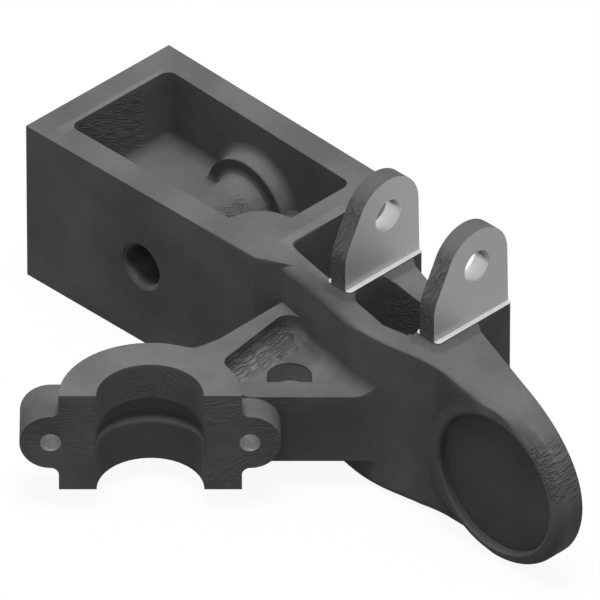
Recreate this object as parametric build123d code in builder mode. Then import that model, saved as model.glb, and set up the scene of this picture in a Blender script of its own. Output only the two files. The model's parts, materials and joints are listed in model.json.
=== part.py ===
import os
from build123d import *

os.makedirs("parts", exist_ok=True)

# The frame: X runs along the clevis pin, Z is up, and the origin is the pin axis midway between the lugs.

# Body
top_z = -42.0             # flat top face of the casting, below the pin axis
depth = 109.5             # top face to underside
web = 8.8                 # middle web shared by the upper and lower pockets
body_left = -293.8
box_right = -94.0         # where the box ends and the spine starts
box_front, box_back = -45.1, 76.1
box_wall = 18.6
box_taper = 7.0           # how far the back wall has come in at the right end
corner_radius = 6.5       # upright corners of every pocket
floor_radius = 6.5        # where pocket walls meet the web
flank_high, flank_low = 62.0, 22.0       # slanting back from the box to the left lug
side_back = (46.0, 12.0)  # back of the pocket beside it
gap_back = (-7.5, -8.0)   # back of the pocket between the lugs, at the middle and the right
sunk = 5.0                # how far a piece of the pattern runs into the wall that carries it

# Spine: a wall that bulges out where the arm lands and runs on into the disc
spine_wall = 15.0
notch, notch_left = (-83.2, -37.6), -98.8
wall_end = (-97.2, -18.6) # inner corner of the wall beside the notch
spine_bulge = (5.0, -55.3)
spine_hollow = (52.0, -47.4)
spine_turn = 100.0        # radius of its bends, seen from above
spine_back = (110.0, -25.6)              # where the back of the spine runs into the disc
spine_foot = -2.5         # and where it leaves the right lug
spine_rise = 3.0          # lift of the underside before the disc
rise_start, rise_end, rise_radius = 44.0, 66.0, 24.0
edge_radius = 6.0         # soft front edge of the spine and the disc

# Disc with a shallow seat in its front face
disc_x = 112.0
disc_radius = depth / 2
disc_front, disc_back = -55.3, -35.5
disc_run, disc_inset, disc_lift = 6.0, 0.5, 9.0
seat_land, seat_depth = 3.0, 5.0         # flat ring between the soft edge and the seat
seat_edge = 1.2

# Clevis lugs
bore_radius = 10.5
head_radius = 25.7
lug_inner, lug_outer = 31.2, 43.2      # machined faces, from the middle of the gap
ledge = 3.6                            # raw base sticks out this far past each machined face
ledge_z = -37.3
lug_front, lug_back = -36.2, 26.6
lug_corner = 3.0
lug_foot = 4.0                         # slope where a base meets the top face
lug_end = 8.0                          # lower ends of the bases, above the underside
lug_lean = 153                         # angle where the front flank leaves the round head
lug_flank_radius = 24.0
bridge_back, bridge_thick = 17.6, 20.6   # wall behind the gap, at the left lug
bridge_turn = -18.3                    # how far that wall comes forward at the right lug

# Cross tube through the box
tube_x = -195.4
tube_radius, tube_bore, mouth_chamfer = 21.0, 14.2, 1.8
boss_step, boss_face = 11.0, 42.5      # how far the boss stands out past the tube
root_radius = 6.0
pad_radius = 25.8

# Clamp: a half bore on an upright axis, opened towards the front right
clamp_axis = (-70.1, -161.5)
clamp_top, clamp_bottom = -70.3, -138.7
clamp_outer, clamp_inner = 54.6, 32.1
ear_pitch = 118.8
ear_radius, ear_thickness = 18.6, 33.6
screw_radius, screw_depth = 6.2, 28.0
ear_root_radius = 5.0
relief_width, relief_depth, relief_lift = 16.8, 6.0, 1.0

# Arm from the clamp to the spine
arm_top, arm_bottom = -85.3, -123.7
rib_back = ((-82.6, -91.3), (-86.8, -112))
rib_front = ((-64.6, -112), (-75.4, -36))
beam_near, beam_thick, beam_bottom = 19.7, 15.6, -132.1
beam_start = 40.0         # hidden end of the beam inside the ring
web_left = -80.0          # the web of the arm starts inside the rib
dee_width, dee_reach, dee_depth, dee_along = 27.0, 19.8, 13.0, 82.9
arm_radius, rib_radius = 9.0, 9.0

seat_radius = disc_radius - edge_radius - seat_land
boss_radius = tube_radius + boss_step
under_z = top_z - depth
mid_z = top_z - depth / 2
web_top, web_under = mid_z + web / 2, mid_z - web / 2
raw_inner, raw_outer = lug_inner - ledge, lug_outer + ledge
raw_width, raw_length = raw_outer - raw_inner, lug_back - lug_front
raw_pitch, raw_middle = raw_inner + raw_outer, (lug_front + lug_back) / 2
clamp_mid = (clamp_top + clamp_bottom) / 2
clamp_plan = Plane((*clamp_axis, 0), x_dir=(1, 1, 0), z_dir=(0, 0, 1))
split_face = Plane((*clamp_axis, clamp_mid), x_dir=(1, 1, 0), z_dir=(1, -1, 0))
beam_end = (disc_front + spine_wall - clamp_axis[1]) * 2 ** 0.5 - beam_near    # at the back of the spine


def spine_points(shift):
    """Corners of the spine's front line seen from above, moved back by shift."""
    run = [(disc_x - disc_run, disc_front), (disc_x + disc_run, disc_front)]
    return [(x, y + shift) for x, y in (notch, spine_bulge, spine_hollow, *run)]


def flat_edges(part, z):
    """Edges lying in the level plane z."""
    return part.edges().filter_by_position(Axis.Z, z - 0.01, z + 0.01)


def upright_edges(part, low, high):
    """Edges running straight up from low to high."""
    upright = part.edges().filter_by(lambda edge: edge.bounding_box().size.X < 1)
    upright = upright.filter_by(lambda edge: abs(edge.bounding_box().min.Z - low) < 0.01)
    return upright.filter_by(lambda edge: abs(edge.bounding_box().max.Z - high) < 0.01)


def round_edges(part, radius):
    """Circular edges of one radius."""
    circles = part.edges().filter_by(GeomType.CIRCLE)
    return circles.filter_by(lambda edge: abs(edge.radius - radius) < 0.01)


with BuildPart() as bracket:
    # Plan outline of the body, raised to full depth
    with BuildSketch(Plane.XY.offset(under_z)) as outline:
        with BuildLine():
            Polyline(notch, (notch_left, box_front), (body_left, box_front), (body_left, box_back),
                     (box_right, box_back - box_taper), (box_right, flank_high), (-raw_outer, flank_low),
                     (-raw_inner, bridge_back), (raw_inner, bridge_back + bridge_turn),
                     (raw_outer, spine_foot), spine_back)
            TangentArc((disc_x + disc_radius, disc_back), spine_back, tangent=(-1, 0))
            Polyline((disc_x + disc_radius, disc_back), (disc_x + disc_radius, disc_front),
                     (disc_x + disc_run, disc_front))
            FilletPolyline(*spine_points(0), radius=spine_turn)
        make_face()
    extrude(amount=depth)

    # Side outline: flat on top, lifted under the spine and rounded by the disc
    with BuildSketch(Plane.XZ) as side:
        with BuildLine():
            Polyline((body_left, top_z), (disc_x, top_z), (disc_x, under_z + disc_lift),
                     (rise_end, under_z + spine_rise), (rise_start, under_z), (body_left, under_z),
                     close=True)
        make_face()
        with Locations((disc_x, mid_z)):
            Circle(disc_radius)
        bends = side.vertices().filter_by_position(Axis.X, rise_start - 1, disc_x - 1)
        fillet(bends, rise_radius)
    extrude(amount=box_back * 2, both=True, mode=Mode.INTERSECT)

    # Soft edge all round the front of the spine and the disc
    front = bracket.edges().filter_by(lambda edge: edge.bounding_box().max.Y < notch[1] + 0.1)
    front = front.filter_by(lambda edge: edge.bounding_box().min.X > notch[0] - 0.1)
    fillet(front.filter_by(lambda edge: edge.bounding_box().size.X > 1), edge_radius)

    # The disc stands a little proud of the hollow in the spine
    with BuildPart(mode=Mode.PRIVATE) as disc:
        with BuildSketch(Plane.XZ.offset(-disc_front)):
            with Locations((disc_x, mid_z)):
                Circle(disc_radius - disc_inset)
        extrude(amount=-spine_wall)
        fillet(disc.edges().group_by(Axis.Y)[0], edge_radius)
    add(disc.part)
    with BuildSketch(Plane.XZ.offset(-disc_front)):
        with Locations((disc_x, mid_z)):
            Circle(seat_radius)
    extrude(amount=-seat_depth, mode=Mode.SUBTRACT)
    chamfer(round_edges(bracket, seat_radius).sort_by(Axis.Y)[0], seat_edge)

    # Arm: rib, web and beam. The web ends along the middle line of the beam.
    beam_line = [clamp_plan.from_local_coords((along, beam_near + beam_thick / 2))
                 for along in (beam_start, beam_end)]
    with BuildSketch(Plane.XY.offset(clamp_bottom)):
        Polygon(notch, *rib_back, *rib_front, align=None)
    extrude(amount=clamp_top - clamp_bottom)
    with BuildSketch(Plane.XY.offset(arm_bottom)):
        Polygon((web_left, notch[1]), (web_left, rib_back[1][1]), *beam_line, align=None)
    extrude(amount=arm_top - arm_bottom)
    with BuildSketch(clamp_plan.offset(beam_bottom)):
        with Locations((beam_start, beam_near)):
            Rectangle(beam_end - beam_start, beam_thick, align=(Align.MIN, Align.MIN))
    extrude(amount=arm_top - beam_bottom)

    # Clamp ring and ears
    with BuildSketch(clamp_plan.offset(clamp_bottom)):
        Circle(clamp_outer)
        with Locations((0, -clamp_outer)):
            Rectangle(2 * clamp_outer, 2 * clamp_outer, mode=Mode.SUBTRACT)
    extrude(amount=clamp_top - clamp_bottom)
    with BuildSketch(split_face):
        SlotCenterToCenter(ear_pitch, 2 * ear_radius)
    extrude(amount=-ear_thickness)

    # Roots of the arm, where its top meets the rib, the ring and the spine
    level = flat_edges(bracket, arm_top)
    level = level.filter_by(lambda edge: edge.geom_type != GeomType.LINE or edge.center().X < rib_front[0][0])
    corners = upright_edges(bracket, arm_top, clamp_top)
    beam_corner = upright_edges(bracket, beam_bottom, arm_top).sort_by(Axis.Y)[-1]
    fillet([*level, *corners, beam_corner], arm_radius)
    fillet(upright_edges(bracket, clamp_bottom, clamp_top).sort_by(Axis.X)[0], rib_radius)
    ear_roots = round_edges(bracket, clamp_outer)
    ear_roots = ear_roots.filter_by(lambda edge: abs(abs(edge.center().Z - clamp_mid) - ear_radius) < 0.01)
    fillet(ear_roots, ear_root_radius)

    # D-shaped pocket in the web of the arm, flat side against the beam
    with BuildSketch(clamp_plan.offset(arm_top)):
        with Locations((dee_along, beam_near + beam_thick)):
            Rectangle(dee_width, dee_reach - dee_width / 2, align=(Align.CENTER, Align.MIN))
        with Locations((dee_along, beam_near + beam_thick + dee_reach - dee_width / 2)):
            Circle(dee_width / 2)
            with Locations((0, -dee_width)):
                Rectangle(dee_width, 2 * (dee_width - dee_reach + dee_width / 2), mode=Mode.SUBTRACT)
    extrude(amount=-dee_depth, mode=Mode.SUBTRACT)

    # Clamp bore, and a relief groove that fades out towards the split face
    with BuildSketch(clamp_plan.offset(clamp_bottom)):
        Circle(clamp_inner)
    extrude(amount=clamp_top - clamp_bottom, mode=Mode.SUBTRACT)
    relief_reach = clamp_inner + relief_depth
    relief_shift = (relief_reach ** 2 - clamp_inner ** 2) / (2 * relief_reach)
    relief_radius = relief_reach - relief_shift
    relief_mid = clamp_plan.from_local_coords(Vector(0, relief_shift, clamp_mid + relief_lift))
    with BuildSketch(Plane(relief_mid, x_dir=(1, 1, 0), z_dir=(1, -1, 0))):
        Polygon((0, -relief_width / 2), (relief_radius - relief_depth, -relief_width / 2),
                (relief_radius, -relief_width / 4), (relief_radius, relief_width / 4),
                (relief_radius - relief_depth, relief_width / 2), (0, relief_width / 2), align=None)
    revolve(axis=Axis(relief_mid, (0, 0, 1)), mode=Mode.SUBTRACT)
    with BuildSketch(split_face):
        with GridLocations(ear_pitch, 1, 2, 1):
            Circle(screw_radius)
    extrude(amount=-screw_depth, mode=Mode.SUBTRACT)

    # Raw lug bases with sloped feet on the top face, running down behind the body as ribs
    with BuildSketch(Plane.XY.offset(under_z + lug_end)):
        with GridLocations(raw_pitch, 1, 2, 1):
            with Locations((0, raw_middle)):
                RectangleRounded(raw_width, raw_length, lug_corner)
    extrude(amount=ledge_z - under_z - lug_end)
    with BuildPart(mode=Mode.PRIVATE) as feet:
        with BuildSketch(Plane.XY.offset(top_z)):
            with GridLocations(raw_pitch, 1, 2, 1):
                with Locations((0, raw_middle)):
                    RectangleRounded(raw_width + 2 * lug_foot, raw_length + 2 * lug_foot,
                                     lug_corner + lug_foot)
        extrude(amount=lug_foot, taper=45)
        with BuildSketch(Plane.XY.offset(top_z)):
            add(outline.sketch_local)
        extrude(amount=lug_foot, mode=Mode.INTERSECT)
    add(feet.part)

    # Pockets above and below the web leave the walls and the corner pad standing
    for floor, past in ((web_top, ledge_z + sunk), (web_under, under_z - sunk)):
        with BuildSketch(Plane.XY.offset(floor)) as plan:
            with BuildLine():
                Polyline((body_left + box_wall, box_front + box_wall),
                         (box_right - box_wall, box_front + box_wall),
                         (box_right - box_wall, box_back - box_taper - box_wall),
                         (body_left + box_wall, box_back - box_wall), close=True)
            make_face()
            fillet(plan.vertices(), corner_radius)
            with Locations((box_right - box_wall, box_front + box_wall)):
                Circle(pad_radius, mode=Mode.SUBTRACT)
        with BuildSketch(Plane.XY.offset(floor)) as small_pockets:
            with BuildLine():
                Polyline((box_right, disc_front), (box_right, side_back[0]), (-raw_outer, side_back[1]),
                         (-raw_outer, disc_front), close=True)
            make_face()
            with BuildLine():
                Polyline((-raw_inner, disc_front), (-raw_inner, bridge_back - bridge_thick),
                         (0, gap_back[0]), (raw_inner, gap_back[1]), (raw_inner, disc_front), close=True)
            make_face()
            with BuildLine():
                Polyline(*spine_points(spine_wall))
                Polyline((disc_x + disc_run, disc_front + spine_wall), (disc_x + disc_run, 2 * disc_front),
                         (wall_end[0], 2 * disc_front), wall_end, (notch[0], notch[1] + spine_wall))
            make_face(mode=Mode.SUBTRACT)
            fillet(small_pockets.vertices(), corner_radius)
        extrude(amount=past - floor, mode=Mode.SUBTRACT)

    # Cross tube and its boss on the back wall
    with BuildSketch(Plane.XZ.offset(-box_front - sunk)):
        with Locations((tube_x, mid_z)):
            Circle(tube_radius)
    extrude(amount=box_front + sunk - boss_face - sunk)
    with BuildSketch(Plane.XZ.offset(-boss_face)):
        with Locations((tube_x, mid_z)):
            Circle(boss_radius)
    extrude(amount=-(box_wall + sunk))

    # Soft floors of the upper pockets, then the roots of the tube and its boss
    fillet(flat_edges(bracket, web_top), floor_radius)
    arches = bracket.edges().filter_by(lambda edge: abs(edge.center().X - tube_x) < 5)
    arches = arches.filter_by(lambda edge: edge.center().Z > web_top)
    arches = arches.filter_by(lambda edge: edge.bounding_box().size.X > 30 and edge.bounding_box().size.Y < 3)
    tube_roots = arches.filter_by(lambda edge: edge.bounding_box().size.X < 2 * tube_radius)
    boss_root = arches.filter_by(GeomType.ELLIPSE)
    fillet(tube_roots.sort_by(Axis.Y)[-1], root_radius)
    fillet(boss_root, root_radius)

    # Machined lug plates on the raw bases
    with BuildSketch(Plane.YZ.offset(lug_inner)) as lug:
        Circle(head_radius)
        with BuildLine():
            touch = Vector(head_radius, 0).rotate(Axis.Z, lug_lean)
            down = Vector(1, 0).rotate(Axis.Z, lug_lean + 90)
            shoulder = touch + down * ((lug_front - touch.X) / down.X)
            FilletPolyline(touch, shoulder, (lug_front, ledge_z), radius=lug_flank_radius)
            Polyline((lug_front, ledge_z), (lug_back, ledge_z), (head_radius, 0), (0, 0), touch)
        make_face()
    extrude(amount=lug_outer - lug_inner)
    with BuildSketch(Plane.YZ.offset(-lug_outer)):
        add(lug.sketch_local)
    extrude(amount=lug_outer - lug_inner)

    # Through bore of the cross tube with a rounded mouth, and the pin bore of the clevis
    with BuildSketch(Plane.XZ.offset(-box_front)):
        with Locations((tube_x, mid_z)):
            Circle(tube_bore)
    extrude(amount=box_front - box_back, mode=Mode.SUBTRACT)
    chamfer(round_edges(bracket, tube_bore).sort_by(Axis.Y)[0], mouth_chamfer)
    with BuildSketch(Plane.YZ.offset(-lug_outer)):
        Circle(bore_radius)
    extrude(amount=2 * lug_outer, mode=Mode.SUBTRACT)

bracket.part.label = "shock absorber bracket"
export_step(bracket.part, "parts/bracket.step")
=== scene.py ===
# %% [markdown]
# # A cast bracket, from bare model to finished picture
#
# The real object is one casting of iron: a hollow box end, a bulging spine, a round end disc, two
# lugs for a damper's eye and half a clamp on a ribbed arm. It leaves the foundry with a dull dark
# skin, and only the faces and holes that take other parts are cut bright. This lesson dresses the
# model of it: the front edge gets its true roundness, one material holds rough skin and cut metal
# side by side, and a long lens and one soft lamp show it as a catalogue would.

# %% Load the casting
import json
import math
import bpy
import numpy as np
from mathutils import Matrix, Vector


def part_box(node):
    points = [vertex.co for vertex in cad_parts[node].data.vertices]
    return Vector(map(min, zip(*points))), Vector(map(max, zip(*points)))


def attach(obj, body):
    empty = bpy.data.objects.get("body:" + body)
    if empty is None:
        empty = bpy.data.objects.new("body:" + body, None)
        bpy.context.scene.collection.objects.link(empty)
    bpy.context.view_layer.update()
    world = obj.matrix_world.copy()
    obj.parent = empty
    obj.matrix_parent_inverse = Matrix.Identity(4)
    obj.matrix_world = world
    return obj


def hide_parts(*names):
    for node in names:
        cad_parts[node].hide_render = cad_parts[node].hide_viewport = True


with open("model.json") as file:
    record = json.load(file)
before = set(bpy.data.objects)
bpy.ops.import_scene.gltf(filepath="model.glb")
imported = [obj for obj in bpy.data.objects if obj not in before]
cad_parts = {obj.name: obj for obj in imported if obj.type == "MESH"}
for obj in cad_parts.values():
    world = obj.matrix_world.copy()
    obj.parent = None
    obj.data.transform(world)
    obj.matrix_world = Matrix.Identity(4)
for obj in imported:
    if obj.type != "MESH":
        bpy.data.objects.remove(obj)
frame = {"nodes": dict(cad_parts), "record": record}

casting = frame["nodes"]["bracket"]
mounts = {mount["name"]: mount for mount in frame["record"]["mounts"]}
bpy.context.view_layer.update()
low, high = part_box("bracket")
print("casting", [round(1000 * (b - a), 1) for a, b in zip(low, high)], "mm,",
      len(casting.data.polygons), "triangles,", len(mounts), "mounts")

# %% [markdown]
# ## A welded copy
#
# The model rounds the front edge of the spine and the disc with one radius. On the real casting
# that edge is as soft only at the left, crisp from the bulge onwards, and softer still on the free
# side of the disc. The model's own mesh may not change, so a copy stands in for it. The model is
# stored as loose triangles. Corners that share a place are welded first, or the copy would tear
# when they move. The way each corner faces is kept beside it, because it makes round surfaces look
# round.

# %% Weld a copy
micron = 1e-6

source = casting.data
places = np.empty(3 * len(source.vertices))
source.vertices.foreach_get("co", places)
corners = np.empty(len(source.loops), dtype=int)
source.loops.foreach_get("vertex_index", corners)
facings = np.empty(3 * len(source.loops))
source.corner_normals.foreach_get("vector", facings)
facings = facings.reshape(-1, 3)

keys = np.round(places.reshape(-1, 3) / micron).astype(np.int64)
kept, welded = np.unique(keys, axis=0, return_inverse=True)
points = kept * micron
corners = welded.reshape(-1)[corners]
moves = np.zeros_like(points)
print(len(keys), "loose points welded to", len(points))

# %% [markdown]
# ## The roundness of the front edge
#
# A bevel tool needs a sharp edge to start from, and the model has none left. There is a simpler
# way. A rounded edge is an arc between two faces, and every point on it faces some way between the
# two. A point that faces along n reaches an arc of another radius when it moves by the difference
# of the radii times (a + b - n), where a and b are the ways the two faces look. It still faces the
# same way afterwards, so the shading needs no change. Along the spine, a is straight up and b is
# straight ahead. The new radius fades in along the bulge.

# %% Helpers for the edge
def ease(values, start, end):
    """Goes softly from 0 at start to 1 at end."""
    share = np.clip((values - start) / (end - start), 0, 1)
    return share * share * (3 - 2 * share)


def unit(rows):
    """Directions, each made one long."""
    return rows / np.maximum(np.linalg.norm(rows, axis=1), micron)[:, None]


disc_axis_x, _, disc_axis_z = mounts["disc_seat"]["pos_m"]
model_radius, crisp_radius, free_radius = 0.006, 0.0012, 0.0078
print("edge radius", model_radius * 1000, "mm, crisp", crisp_radius * 1000, "mm")

# %% Tighten the edge along the spine
top_of_casting, front_side = -0.042, -0.03
soft_until, crisp_from = -0.025, 0.005
slight_turn, slack = 0.03, 1e-5

spot = points[corners]
depth = top_of_casting - spot[:, 2]
on_arc = (facings[:, 2] > slight_turn) & (facings[:, 1] < -slight_turn)
on_arc &= (depth > -slack) & (depth < model_radius + slack)
on_arc &= (spot[:, 1] < front_side) & (spot[:, 0] < disc_axis_x)
ahead = unit(facings[on_arc] * (1, 1, 0))
shrink = (model_radius - crisp_radius) * ease(spot[on_arc, 0], soft_until, crisp_from)
moves[corners[on_arc]] = shrink[:, None] * (ahead + (0, 0, 1) - facings[on_arc])
print(int(on_arc.sum()), "corners on the spine's edge")

# %% [markdown]
# Round the disc, a looks away from the disc's axis. Here the place of a point on the arc is
# measured instead of the way it faces: u runs from 0 to 1 across the arc to the rim, and v from -1
# at the disc's face to 0 on its side. The disc stands proud of a hollow in the spine, so points a
# little past the arc move too, and the foot of the edge comes forward: the spine then sweeps up
# to the disc without a step. The side that joins the spine is crisp. On the free side, at the
# right and below, the arc is larger and reaches nearly to the seat.

# %% Reshape the edge of the disc
disc_front, disc_edge = -0.0553, 0.0543
joined_side, fully_joined = np.array([-0.866, 0, 0.5]), 0.5
least_u, largest_u, near_arc = 0.001, 1.15, 0.97
full_move_v, no_move_v = 0.1, 0.9

away = points - (disc_axis_x, 0, disc_axis_z)
away[:, 1] = 0
u = (np.linalg.norm(away, axis=1) - disc_edge) / model_radius + 1
v = (points[:, 1] - disc_front) / model_radius - 1
away = unit(away)
turn = np.stack([u, np.minimum(v, 0)], 1)
on_disc = (u > least_u) & (u < largest_u) & (v < no_move_v)
on_disc &= np.linalg.norm(turn, axis=1) > near_arc
turn = unit(turn)

joined = ease(away @ joined_side, 0, fully_joined)
radius = free_radius + (crisp_radius - free_radius) * joined
shrink = (model_radius - radius) * ease(-v, -no_move_v, -full_move_v)
disc_moves = shrink[:, None] * (away * (1 - turn[:, :1]) + (0, -1, 0) * (1 + turn[:, 1:]))
moves[on_disc] = disc_moves[on_disc]
points += moves
print(int(moves.any(axis=1).sum()), "points moved, the furthest by",
      round(1000 * float(np.linalg.norm(moves, axis=1).max()), 1), "mm")

# %% [markdown]
# Where the spine sweeps up to the disc, the edge is no arc any more. Its corners are turned to
# face forward, as the swept surface does.

# %% Turn the sweep forward
sweep_from, sweep_to, faces_ahead = 0.1, 0.35, -0.02

swept = ease(-away[:, 0], sweep_from, sweep_to) * joined * on_disc
share = swept[corners] * (facings[:, 1] < faces_ahead)
facings = unit(facings + share[:, None] * ((0, -1, 0) - facings))
print(int((share > 0).sum()), "corners turned")

# %% Stand the copy in for the model
triangles = corners.reshape(-1, 3)
whole = (triangles != np.roll(triangles, 1, axis=1)).all(axis=1)
crisp_mesh = bpy.data.meshes.new("crisp casting")
crisp_mesh.from_pydata(points.tolist(), [], triangles[whole].tolist())
crisp_mesh.normals_split_custom_set(facings.reshape(-1, 3, 3)[whole].reshape(-1, 3).tolist())
crisp_casting = bpy.data.objects.new("crisp_casting", crisp_mesh)
bpy.context.collection.objects.link(crisp_casting)
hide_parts("bracket")
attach(crisp_casting, "root")
print("crisp casting:", len(crisp_mesh.polygons), "triangles")

# %% [markdown]
# ## The floor
#
# The casting lies on a plain white floor. To the camera the floor is white paper with a faint
# shadow, and so it is in the reflections of cut metal. For the light that bounces up from it, it
# is a dim grey like the rest of the room, or it would flood the dark sides from below.

# %% Lay the floor
floor_size = 6.0

half = floor_size / 2
floor_corners = [(side * half, end * half, low[2])
                 for side, end in ((-1, -1), (1, -1), (1, 1), (-1, 1))]
floor_mesh = bpy.data.meshes.new("floor")
floor_mesh.from_pydata(floor_corners, [], [(0, 1, 2, 3)])
floor = bpy.data.objects.new("floor", floor_mesh)
bpy.context.collection.objects.link(floor)
print("floor at", round(1000 * low[2], 1), "mm")

# %% [markdown]
# ## The camera
#
# The casting is seen from one corner of a cube, so that its top, its front and its right side are
# all equally foreshortened. An orthographic camera would do this in one setting, but a very long
# lens from far away gives nearly the same flat picture and stays an ordinary camera. The distance
# grows with the lens, so the width of the frame at the casting stays the same.

# %% Place the camera
frame_width = 0.36
lens = 1400.0
target = Vector((-0.1034, -0.0021, -0.0968))
towards_camera = Vector((1, -1, 1)).normalized()

camera_data = bpy.data.cameras.new("corner view")
camera_data.lens = lens
camera_distance = frame_width * lens / camera_data.sensor_width
camera = bpy.data.objects.new("corner view", camera_data)
bpy.context.collection.objects.link(camera)
camera.location = target + towards_camera * camera_distance
camera.rotation_euler = (-towards_camera).to_track_quat("-Z", "Y").to_euler()
bpy.context.scene.camera = camera
print("camera", round(camera_distance, 2), "m from the middle of the casting")

# %% [markdown]
# ## The white room
#
# The background is plain white, but a white world would also flood a dark casting with light. The
# Light Path node tells the two apart: rays from the camera and mirror-like rays see white, and the
# soft rays that light the skin see a dim grey. Cut metal therefore reflects a bright room while
# the rough skin keeps its depth.

# %% Two looks for one surface
def shader_node(tree, kind, colour, strength=None):
    """One shader node with its colour and, for a light, its strength."""
    made = tree.nodes.new(kind)
    made.inputs["Color"].default_value = (*colour, 1)
    if strength is not None:
        made.inputs["Strength"].default_value = strength
    return made.outputs[0]


def mixed(tree, factor, first, second):
    """The first shader where the factor is 0, the second where it is 1."""
    made = tree.nodes.new("ShaderNodeMixShader")
    if isinstance(factor, bpy.types.NodeSocket):
        tree.links.new(factor, made.inputs[0])
    else:
        made.inputs[0].default_value = factor
    tree.links.new(first, made.inputs[1])
    tree.links.new(second, made.inputs[2])
    return made.outputs[0]


def white_to_camera(tree, dim_shader, white_shader):
    """The dim shader for rays that light things, the white one for camera and mirror-like rays."""
    path = tree.nodes.new("ShaderNodeLightPath")
    seen = path.outputs["Is Camera Ray"]
    for ray in ("Is Glossy Ray", "Is Transmission Ray"):
        either = tree.nodes.new("ShaderNodeMath")
        either.operation = "MAXIMUM"
        tree.links.new(seen, either.inputs[0])
        tree.links.new(path.outputs[ray], either.inputs[1])
        seen = either.outputs[0]
    return mixed(tree, seen, dim_shader, white_shader)

# %% Paint the world
white = (1, 1, 1)
sky_light = 0.22
sky_colour = (0.97, 0.99, 1.0)

world = bpy.data.worlds.new("white room")
bpy.context.scene.world = world
world.use_nodes = True
room = world.node_tree
room.nodes.clear()
dim_sky = shader_node(room, "ShaderNodeBackground", sky_colour, sky_light)
white_sky = shader_node(room, "ShaderNodeBackground", white, 1.0)
world_end = room.nodes.new("ShaderNodeOutputWorld")
room.links.new(white_to_camera(room, dim_sky, white_sky), world_end.inputs["Surface"])
bpy.context.scene.view_settings.view_transform = "Standard"
print("world: light", sky_light, "for the skin, 1.0 for camera and mirror rays")

# %% Paint the floor
shadow_share, floor_bounce = 0.07, 0.22

paper = bpy.data.materials.new("white paper floor")
paper.use_nodes = True
sheet = paper.node_tree
sheet.nodes.clear()
glow = shader_node(sheet, "ShaderNodeEmission", white, 1.0)
shaded = shader_node(sheet, "ShaderNodeBsdfDiffuse", white)
bounce = shader_node(sheet, "ShaderNodeBsdfDiffuse", (floor_bounce,) * 3)
faint_shadow = mixed(sheet, shadow_share, glow, shaded)
floor_end = sheet.nodes.new("ShaderNodeOutputMaterial")
sheet.links.new(white_to_camera(sheet, bounce, faint_shadow), floor_end.inputs["Surface"])
floor.data.materials.append(paper)
print("floor: shadows at", round(100 * shadow_share), "percent")

# %% [markdown]
# ## One soft lamp overhead
#
# Every level face of the casting is pale and every upright face is dark, and no face throws a
# hard shadow. That is one wide lamp nearly straight above. A sun lamp lights everything from one
# direction whatever the distance, and its angle sets how soft the shadows are.

# %% Hang the lamp
lamp_strength = 2.45
lamp_softness = math.radians(28)
lamp_from = Vector((0.03, -0.05, 1.0))

lamp_data = bpy.data.lights.new("overhead lamp", "SUN")
lamp_data.energy = lamp_strength
lamp_data.angle = lamp_softness
lamp = bpy.data.objects.new("overhead lamp", lamp_data)
bpy.context.collection.objects.link(lamp)
lamp.rotation_euler = lamp_from.to_track_quat("Z", "Y").to_euler()
print("lamp strength", lamp_strength, "softness", round(math.degrees(lamp_softness)), "degrees")

# %% [markdown]
# ## A small kit for building the material
#
# A material is a graph of small sums. Wiring it by hand takes four lines a sum, so these helpers
# make one node each and return its output. A value can be a number or the output of another node,
# which lets the cells below read like formulas.

# %% Sums
material = bpy.data.materials.new("cast iron with cut faces")
material.use_nodes = True
tree = material.node_tree
tree.nodes.clear()


def feed(socket, value):
    """Puts a number, a colour or another node's output into a socket."""
    if isinstance(value, bpy.types.NodeSocket):
        tree.links.new(value, socket)
    else:
        socket.default_value = value


def calc(operation, *values):
    """One sum on numbers."""
    made = tree.nodes.new("ShaderNodeMath")
    made.operation = operation
    for socket, value in zip(made.inputs, values):
        feed(socket, value)
    return made.outputs[0]


def times(*values):
    """All the values multiplied. On masks this means: where all of them hold."""
    product = values[0]
    for value in values[1:]:
        product = calc("MULTIPLY", product, value)
    return product


def vector(operation, *values):
    """One sum on directions or places. Dot products and lengths come back as numbers."""
    made = tree.nodes.new("ShaderNodeVectorMath")
    made.operation = operation
    sockets = [made.inputs[0], made.inputs["Scale"]] if operation == "SCALE" else made.inputs
    for socket, value in zip(sockets, values):
        feed(socket, value)
    return made.outputs["Value" if operation in ("DOT_PRODUCT", "LENGTH") else "Vector"]


print("new material:", material.name)

# %% [markdown]
# The Mix node keeps separate sockets for numbers and for colours. They share their names, so they
# are picked by number.

# %% Fades, mixes and noise
def fade(value, start, end):
    """Goes softly from 0 at start to 1 at end."""
    made = tree.nodes.new("ShaderNodeMapRange")
    made.interpolation_type = "SMOOTHSTEP"
    feed(made.inputs["Value"], value)
    made.inputs["From Min"].default_value = start
    made.inputs["From Max"].default_value = end
    return made.outputs["Result"]


def between(factor, a, b):
    """A number that is a where the factor is 0 and b where it is 1."""
    made = tree.nodes.new("ShaderNodeMix")
    made.data_type = "FLOAT"
    for number, value in ((0, factor), (2, a), (3, b)):
        feed(made.inputs[number], value)
    return made.outputs[0]


def tint(factor, a, b):
    """The same for colours."""
    made = tree.nodes.new("ShaderNodeMix")
    made.data_type = "RGBA"
    for number, value in ((0, factor), (6, a), (7, b)):
        feed(made.inputs[number], value)
    return made.outputs[2]


def noise(where, size, detail, distortion=0.0):
    """Cloudy noise whose lumps are about the given size in metres."""
    made = tree.nodes.new("ShaderNodeTexNoise")
    feed(made.inputs["Vector"], where)
    made.inputs["Scale"].default_value = 1 / size
    made.inputs["Detail"].default_value = detail
    made.inputs["Distortion"].default_value = distortion
    return made.outputs["Fac"]


coordinates = tree.nodes.new("ShaderNodeTexCoord")
place = coordinates.outputs["Object"]
facing = coordinates.outputs["Normal"]
apart = tree.nodes.new("ShaderNodeSeparateXYZ")
tree.links.new(place, apart.inputs[0])
x, z = apart.outputs["X"], apart.outputs["Z"]
print("places are read in metres from the pin axis")

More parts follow.
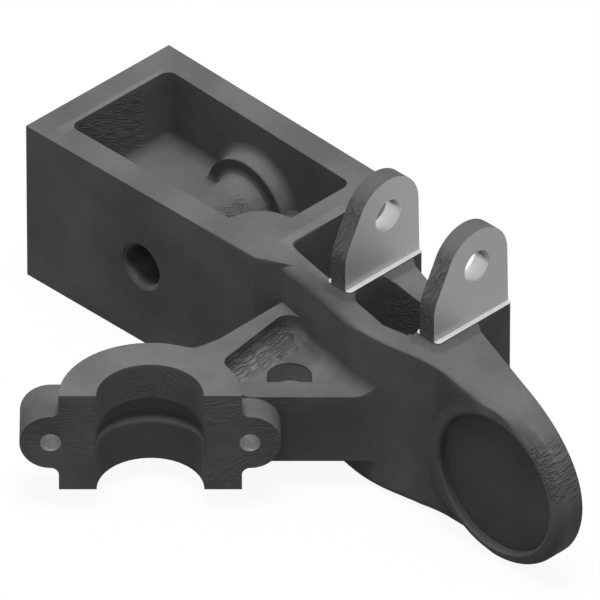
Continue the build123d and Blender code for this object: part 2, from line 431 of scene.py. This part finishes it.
# %% [markdown]
# ## Which surfaces are cut
#
# After casting, the lug faces, the ledges at their feet, the pin hole and the two screw holes are
# machined. They could be painted by hand, but each is simple to describe: a hole is everything
# closer to its axis than its radius, and a cut face lies in a known plane. The holes come from
# the record's own list, so the finish follows them if they move.

# %% Find the cut holes
hair = 0.0003


def inside_hole(name, blind=False):
    """1 on the wall of a hole that the record lists, and on its floor if it is blind."""
    mount = mounts[name]
    away = vector("SUBTRACT", place, mount["pos_m"])
    along = vector("DOT_PRODUCT", away, mount["axis"])
    radial = vector("LENGTH", vector("SUBTRACT", away, vector("PROJECT", away, mount["axis"])))
    radius = mount["dims"]["r_mm"] / 1000
    mouth = mount["dims"]["length_mm"] / 2000 - hair / 3
    end = mouth + hair if blind else mouth
    near_axis = calc("LESS_THAN", radial, radius + hair / 2)
    return times(near_axis, calc("LESS_THAN", along, mouth), calc("GREATER_THAN", along, -end))


pin_hole = inside_hole("clevis_pin")
screw_holes = calc("MAXIMUM", inside_hole("cap_screw_left", blind=True),
                   inside_hole("cap_screw_right", blind=True))
print("cut: the pin hole and two screw holes")

# %% Find the cut faces
ledge_height, ledge_reach = -0.0373, 0.0475
squarely = 0.95

sideways = calc("ABSOLUTE", vector("DOT_PRODUCT", facing, (1, 0, 0)))
upwards = vector("DOT_PRODUCT", facing, (0, 0, 1))
above_ledges = calc("GREATER_THAN", z, ledge_height + hair / 3)
lug_faces = times(above_ledges, calc("GREATER_THAN", sideways, squarely))
level = calc("COMPARE", z, ledge_height, hair)
in_reach = calc("LESS_THAN", calc("ABSOLUTE", x), ledge_reach)
ledges = times(level, in_reach, calc("GREATER_THAN", upwards, squarely))

cut = calc("MAXIMUM", calc("MAXIMUM", lug_faces, ledges), calc("MAXIMUM", pin_hole, screw_holes))
uncut = calc("SUBTRACT", 1.0, cut)
print("cut: the lug faces, and the ledges at", ledge_height * 1000, "mm")

# %% [markdown]
# ## The colour of the cast skin
#
# Black iron is really a cool dark grey, never one even tone: the sand leaves clouds a few
# centimetres wide, with fine specks in them. Noise at two sizes gives both.

# %% Colour the skin
skin_dark = (0.130, 0.133, 0.135, 1)
skin_pale = (0.178, 0.181, 0.182, 1)
cloud_size, speck_size = 0.045, 0.0035
speck_share = 0.2
darkest_noise, palest_noise = 0.3, 0.7

clouds = noise(place, cloud_size, detail=2.5)
specks = noise(place, speck_size, detail=2.0)
patchy = calc("ADD", times(clouds, 1 - speck_share), times(specks, speck_share))
skin_colour = tint(fade(patchy, darkest_noise, palest_noise), skin_dark, skin_pale)
print("skin from", skin_dark[:3], "to", skin_pale[:3])

# %% [markdown]
# ## Painted light and shade
#
# Some places are made paler or darker than the rest of the skin, most of them to paint in light
# and shade. The D pocket, the pocket behind the spine, the end wall and the inside of the cross
# tube are painted paler, as painted light where walls shut out the lamp, and the rim of the disc
# gets a painted highlight. The face of the boss, the box floor, the seat and the disc are painted
# darker, as painted shade. The top of the clamp is paler, and the beam and the face round the
# cross bore are darker. A few more are only a shade darker or paler. Each such place is a
# soft-edged box in space and a factor for the colour in it, listed in one table that is easy to
# change. The softness is the share of the box over which it fades out.

# %% List the tones and painted light
tones_and_painted_light = {
    # name: (centre, half size, softness, factor)
    # painted light: the next four boxes make recesses paler where walls shut out the lamp
    "painted light in the D pocket": ((-0.055, -0.061, -0.0930), (0.024, 0.024, 0.0075), 0.25, 1.72),
    "painted light behind the spine": ((-0.094, 0.004, -0.062), (0.008, 0.030, 0.028), 0.25, 1.25),
    "painted light on the end wall": ((-0.275, 0.010, -0.062), (0.004, 0.050, 0.030), 0.25, 1.30),
    "painted light in the cross tube": ((-0.1954, -0.030, -0.097), (0.0142, 0.015, 0.0142), 0.25, 1.70),
    # the top of the clamp is made paler
    "paler top of the clamp": ((-0.107, -0.170, -0.0703), (0.075, 0.075, 0.002), 0.30, 1.16),
    # painted shade: the next four boxes darken the boss, the box floor, the seat and the disc
    "painted shade on the boss": ((-0.192, 0.0425, -0.070), (0.040, 0.0015, 0.026), 0.25, 0.66),
    "painted shade on the box floor": ((-0.240, 0.020, -0.0923), (0.040, 0.060, 0.006), 0.50, 0.86),
    "painted shade in the seat": ((0.112, -0.0506, -0.0968), (0.058, 0.0035, 0.058), 0.25, 0.78),
    "painted shade on the disc": ((0.096, -0.0553, -0.0968), (0.068, 0.0085, 0.070), 0.60, 0.78),
    # painted highlight: the right rim of the disc is made paler
    "painted highlight on the disc rim": ((0.155, -0.052, -0.082), (0.026, 0.010, 0.044), 0.85, 1.22),
    # the face round the cross bore and the beam are made darker
    "darker round the cross bore": ((-0.1954, -0.0451, -0.0968), (0.055, 0.002, 0.055), 0.95, 0.80),
    "darker beam": ((-0.020, -0.085, -0.110), (0.060, 0.040, 0.030), 0.60, 0.86),
    "pale rib flank": ((-0.067, -0.071, -0.0797), (0.014, 0.040, 0.0092), 0.35, 1.25),
    "dark web": ((-0.056, -0.048, -0.0845), (0.020, 0.020, 0.003), 0.25, 0.76),
    "dark ear": ((-0.123, -0.207, -0.088), (0.022, 0.022, 0.018), 0.60, 0.72),
    "dark bulge": ((-0.046, -0.040, -0.043), (0.034, 0.012, 0.006), 0.60, 0.66),
    "dark clamp bore": ((-0.090, -0.145, -0.125), (0.045, 0.045, 0.022), 0.50, 0.86),
}
print(len(tones_and_painted_light), "stains listed")

# %% Tint the skin and paint in light and shade
def soft_box(centre, half_size, softness):
    """1 inside a box in space, falling softly to 0 at its sides."""
    offset = vector("ABSOLUTE", vector("SUBTRACT", place, centre))
    sides = tree.nodes.new("ShaderNodeSeparateXYZ")
    tree.links.new(vector("DIVIDE", offset, half_size), sides.inputs[0])
    over_x, over_y, over_z = sides.outputs
    furthest = calc("MAXIMUM", calc("MAXIMUM", over_x, over_y), over_z)
    return fade(furthest, 1.0, 1.0 - softness)


def scaled(colour, gain):
    """A colour made paler or darker."""
    return vector("MULTIPLY", colour, vector("SCALE", (1, 1, 1), gain))


# Each box multiplies the skin's colour: painted light where the factor is above 1, painted shade
# where it is below.
for centre, half_size, softness, factor in tones_and_painted_light.values():
    skin_colour = scaled(skin_colour, between(soft_box(centre, half_size, softness), 1.0, factor))
print("stains from", min(tone_box[-1] for tone_box in tones_and_painted_light.values()), "to",
      max(tone_box[-1] for tone_box in tones_and_painted_light.values()), "times the skin's colour")

# %% [markdown]
# ## Wrinkled patches in the skin
#
# Where the metal ran along the mould wall, it froze in fine wrinkles: strongest on the flank of
# the rib, on the front of each lug and round the rim of the disc, fainter inside the box, at the
# foot of the cross tube and on the corners of the split face. Each patch is again a soft box, with
# the way its surface faces and the direction in which its wrinkles run.

# %% List the wrinkled patches
split_way, lug_way, up_the_lug = (1, -1, 0), (0, -1, 0.35), (0.35, 0.45, 0.89)
patches = {
    # name: (centre, half size, faces, runs along, depth)
    "rib flank": (
        (-0.067, -0.071, -0.0797), (0.014, 0.040, 0.0092), (0.7, 0.1, 0.7), (-0.14, 1, -0.1), 1.0),
    "left lug front": (
        (-0.037, -0.030, -0.010), (0.010, 0.016, 0.032), lug_way, up_the_lug, 0.65),
    "right lug front": (
        (0.037, -0.030, -0.010), (0.010, 0.016, 0.032), lug_way, up_the_lug, 0.65),
    "disc rim": (
        (0.155, -0.045, -0.070), (0.017, 0.016, 0.019), (0.8, -0.5, 0.5), (0, 1, 0.15), 0.7),
    "top of the split face": (
        (-0.043, -0.1345, -0.082), (0.014, 0.014, 0.015), split_way, (1, 1, 0.2), 0.4),
    "foot of the split face": (
        (-0.039, -0.1305, -0.128), (0.014, 0.014, 0.014), split_way, (1, 1, 0.9), 0.42),
    "right ear": (
        (-0.022, -0.113, -0.102), (0.012, 0.012, 0.020), split_way, (1, 1, 0.3), 0.25),
    "left of the split face": (
        (-0.108, -0.199, -0.094), (0.018, 0.018, 0.020), split_way, (1, 1, 0), 0.22),
    "clamp bore": (
        (-0.090, -0.140, -0.084), (0.016, 0.018, 0.012), (0.5, -1, 0), (1, 0.6, -0.7), 0.2),
    "end wall": (
        (-0.275, -0.002, -0.066), (0.006, 0.044, 0.024), (1, 0, 0), (0, 1, -0.5), 0.55),
    "foot of the cross tube": (
        (-0.180, 0.020, -0.086), (0.009, 0.012, 0.010), (0.7, -0.2, 0.7), (0.5, 1, 0), 0.6),
    "wall between the lugs": (
        (-0.010, -0.006, -0.060), (0.020, 0.010, 0.016), (0, -1, 0), (1, 0, 0.4), 0.3),
    "beam by the clamp": (
        (-0.020, -0.105, -0.092), (0.020, 0.020, 0.010), split_way, (1, 1, 0.4), 0.35),
}
print(len(patches), "wrinkled patches listed")

# %% [markdown]
# Noise that is stretched along one direction makes long folds, and folding it about its middle
# value turns soft hills into narrow grooves. A little distortion keeps the grooves from running
# too straight.

# %% Carve the wrinkles
wrinkle_length, wrinkle_width = 0.015, 0.0026
wrinkle_detail, wrinkle_wander = 2.0, 0.5
middle_value, groove_share = 0.5, 0.13
patch_softness, turned_away, turned_to = 0.35, 0.5, 0.7


def patch_mask(centre, half_size, faces):
    """1 inside a soft box, where the surface faces the given way."""
    turned = vector("DOT_PRODUCT", facing, Vector(faces).normalized())
    return times(soft_box(centre, half_size, patch_softness), fade(turned, turned_away, turned_to))


def folds(runs):
    """Grooves that run along a direction: 0 at the bottom of a groove, 1 on the land."""
    squeeze = 1 - wrinkle_width / wrinkle_length
    along = vector("PROJECT", place, Vector(runs).normalized())
    stretched = vector("SUBTRACT", place, vector("MULTIPLY", along, (squeeze,) * 3))
    wavy = noise(stretched, wrinkle_width, wrinkle_detail, wrinkle_wander)
    return fade(calc("ABSOLUTE", calc("SUBTRACT", wavy, middle_value)), 0.0, groove_share)


wrinkles = 0.0
for centre, half_size, faces, runs, depth in patches.values():
    grooves = times(patch_mask(centre, half_size, faces), depth, calc("SUBTRACT", 1.0, folds(runs)))
    wrinkles = calc("ADD", wrinkles, grooves)
wrinkles = times(wrinkles, uncut)
print("wrinkles", wrinkle_width * 1000, "mm wide and", wrinkle_length * 1000, "mm long")

# %% [markdown]
# ## The grain of the skin
#
# Sand grains print a fine texture everywhere, under a slower unevenness like orange peel. Real
# bumps this small would take millions of triangles, so they stay a change of shading: height
# maps added together and given to one Bump node.

# %% Raise the grain
grain_size, peel_size = 0.0009, 0.006
grain_depth, peel_depth, wrinkle_depth = 0.00004, 0.00018, 0.0009

grain = times(noise(place, grain_size, detail=2.0), grain_depth)
peel = times(noise(place, peel_size, detail=1.5), peel_depth)
skin_height = times(calc("ADD", grain, peel), uncut)
height = calc("SUBTRACT", skin_height, times(wrinkles, wrinkle_depth))
print("grain", round(grain_depth / micron), "microns deep, wrinkles",
      round(wrinkle_depth / micron))

# %% [markdown]
# A Bevel node under the grain softens the sharp edges of the model by less than a millimetre, as
# on any casting. Its radius is nothing on the cut faces, which end in sharp edges. It is a few
# millimetres at the feet of the lugs, along the groove in the clamp's bore and at the edge of the
# pad in the box, where the metal ran together softly.

# %% Soften the edges
edge_softness, root_softness = 0.0007, 0.0035
root_fade, bevel_samples = 0.3, 8
soft_roots = {
    # name: (centre, half size)
    "left lug foot": ((-0.037, -0.038, -0.041), (0.016, 0.010, 0.0035)),
    "right lug foot": ((0.037, -0.038, -0.041), (0.016, 0.010, 0.0035)),
    "clamp groove": ((-0.085, -0.148, -0.1045), (0.060, 0.060, 0.013)),
    "pad edge": ((-0.115, -0.024, -0.046), (0.034, 0.034, 0.008)),
}

edges = tree.nodes.new("ShaderNodeBevel")
edges.samples = bevel_samples
softness = edge_softness
for centre, half_size in soft_roots.values():
    softness = between(soft_box(centre, half_size, root_fade), softness, root_softness)
feed(edges.inputs["Radius"], times(uncut, softness))
bump = tree.nodes.new("ShaderNodeBump")
bump.inputs["Distance"].default_value = 1.0
feed(bump.inputs["Height"], height)
feed(bump.inputs["Normal"], edges.outputs["Normal"])
print("edges softened by", edge_softness * 1000, "mm, and", len(soft_roots), "places by",
      root_softness * 1000, "mm")

# %% [markdown]
# ## Cut metal
#
# A drilled or reamed hole is a scratched mirror. It is metallic and of middle roughness, and it
# looks bright because its wall passes on the light that comes in at its ends. The screw holes are
# also given a paler colour than the iron's own, as painted light on their walls. The faces of the
# lugs were milled and have since dulled, so they are only partly metallic, and the left one is
# painted paler, as painted light to make up for the shade that the right lug and its surroundings
# throw on it. The ledges at their feet lie flat under the lamp and look almost white.

# %% List the finishes
on_right = calc("GREATER_THAN", x, 0.0)
on_left = calc("LESS_THAN", x, 0.0)
finishes = {
    # name: (where, colour, metallic, roughness)
    "right lug": (times(lug_faces, on_right), (0.55, 0.55, 0.552), 0.40, 0.52),
    # painted light: the left lug's colour is paler than the right one's, to make up for shade cast
    # on it
    "left lug": (times(lug_faces, on_left), (0.64, 0.64, 0.642), 0.40, 0.52),
    "ledges": (ledges, (0.80, 0.80, 0.80), 0.15, 0.60),
    "pin hole": (pin_hole, (0.57, 0.57, 0.57), 1.0, 0.36),
    # painted light: the screw holes get a paler colour than iron has, to brighten their insides
    "screw holes": (screw_holes, (0.95, 0.95, 0.95), 0.80, 0.40),
}
print(len(finishes), "cut finishes")

# %% [markdown]
# The cutters left faint rings about the pin axis. A wave texture draws them. At a scale of 1 its
# waves are 2 pi / 20 long, so its scale follows from the distance between two rings.

# %% Draw the tool marks
ring_pitch, ring_strength, ring_wobble = 0.00377, 0.035, 0.6
wave_at_scale_1 = math.tau / 20

rings = tree.nodes.new("ShaderNodeTexWave")
rings.wave_type = "RINGS"
rings.rings_direction = "X"
feed(rings.inputs["Vector"], place)
rings.inputs["Scale"].default_value = wave_at_scale_1 / ring_pitch
rings.inputs["Distortion"].default_value = ring_wobble
marks = calc("SUBTRACT", 1.0, times(rings.outputs["Fac"], ring_strength))
print("tool marks every", round(ring_pitch * 1000, 2), "mm")

# %% [markdown]
# ## One shader for both
#
# A second material would need its own faces, and the cut faces share triangles' edges with the
# skin. So one Principled shader starts with the values of the skin, and each cut finish replaces
# them where its mask says so.

# %% Join skin and metal
skin_roughness, speck_roughness, skin_gloss = 0.82, 0.1, 0.15
painted_groove_shade, groove_shade_strength = (0.06, 0.062, 0.064, 1), 0.42

# painted shade: the bottoms of the wrinkles are darkened towards a dark grey, as shade in the
# creases
colour = tint(times(wrinkles, groove_shade_strength), skin_colour, painted_groove_shade)
metallic = 0.0
roughness = calc("ADD", skin_roughness, times(specks, speck_roughness))
for where, metal_colour, metal, rough in finishes.values():
    colour = tint(where, colour, scaled(metal_colour, marks))
    metallic = between(where, metallic, metal)
    roughness = between(where, roughness, rough)

shader = tree.nodes.new("ShaderNodeBsdfPrincipled")
feed(shader.inputs["Base Color"], colour)
feed(shader.inputs["Metallic"], metallic)
feed(shader.inputs["Roughness"], roughness)
feed(shader.inputs["Normal"], bump.outputs["Normal"])
shader.inputs["Specular IOR Level"].default_value = skin_gloss
material_end = tree.nodes.new("ShaderNodeOutputMaterial")
tree.links.new(shader.outputs[0], material_end.inputs["Surface"])
crisp_mesh.materials.append(material)
print(len(tree.nodes), "nodes in", material.name)
